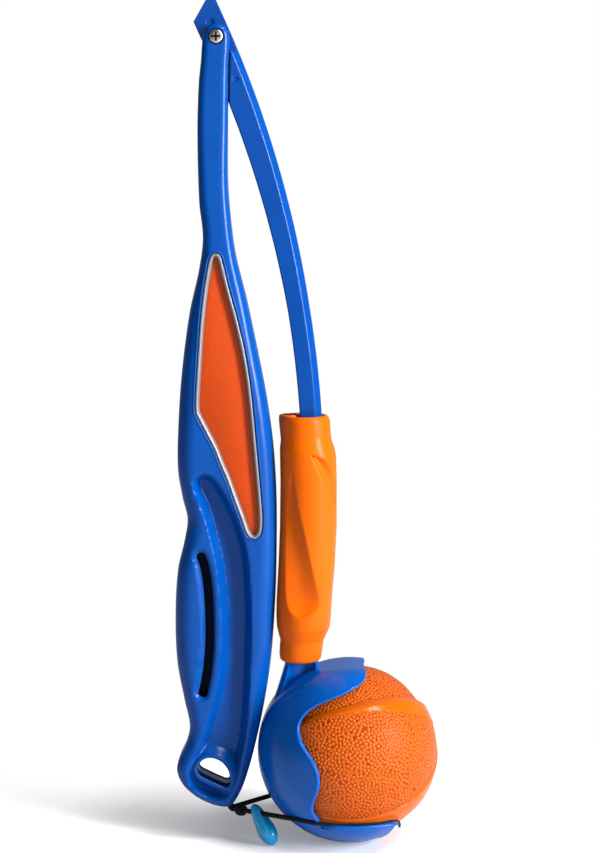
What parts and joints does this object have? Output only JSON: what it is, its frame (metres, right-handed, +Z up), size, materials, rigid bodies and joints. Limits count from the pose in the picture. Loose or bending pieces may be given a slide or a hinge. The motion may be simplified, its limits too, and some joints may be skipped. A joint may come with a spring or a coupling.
{
  "type": "dog ball thrower",
  "caption": "Folding dog ball thrower, shown folded: moulded handle, bent arm on a pivot, soft grip, scoop cup holding a textured ball, elastic loop with pull bead.",
  "frame": {"origin": "centre of the small flat foot under the cup, straight under the ball's centre", "axes": "+Z up along the folded thrower, toward its pivot; +X from the handle toward the ball; +Y toward its rear side"},
  "size_m": [0.0966, 0.064, 0.3102],
  "materials": {
    "handle_blue": "glossy",
    "cup_blue": "glossy",
    "inlay_orange": "satin",
    "grip_orange": "satin",
    "ball_orange": "matte",
    "trim_silver": "metallic",
    "nickel": "polished",
    "steel": "satin",
    "cord_black": "matte",
    "bead_teal": "glossy",
    "washer_white": "satin"
  },
  "bodies": {
    "arm_body": {"arm": "handle_blue", "cup": "cup_blue", "grip_sleeve": "grip_orange", "upper_cup_pin": "steel", "lower_cup_pin": "steel"},
    "handle_body": {"front_handle_shell": "handle_blue", "rear_handle_shell": "handle_blue", "front_trim": "trim_silver", "rear_trim": "trim_silver", "front_inlay": "inlay_orange", "rear_inlay": "inlay_orange", "front_washer": "washer_white", "rear_washer": "washer_white", "pivot_screw": "nickel", "pivot_nut": "nickel", "shell_screw_1": "steel", "shell_screw_2": "steel", "shell_screw_3": "steel", "shell_screw_4": "steel", "elastic_loop": "cord_black", "loop_knot": "cord_black", "pull_bead": "bead_teal"},
    "ball_body": {"ball": "ball_orange"}
  },
  "joints": [
    {"name": "fold", "type": "hinge", "parent": "arm_body", "child": "handle_body", "pos_m": [-0.0486, 0, 0.2936], "axis": [0, 1, 0], "range_deg": [0, 150], "deforming": ["elastic_loop"]},
    {"name": "ball_spin", "type": "hinge", "parent": "arm_body", "child": "ball_body", "pos_m": [0, 0, 0.0335], "axis": [0, 1, 0], "continuous": true}
  ]
}
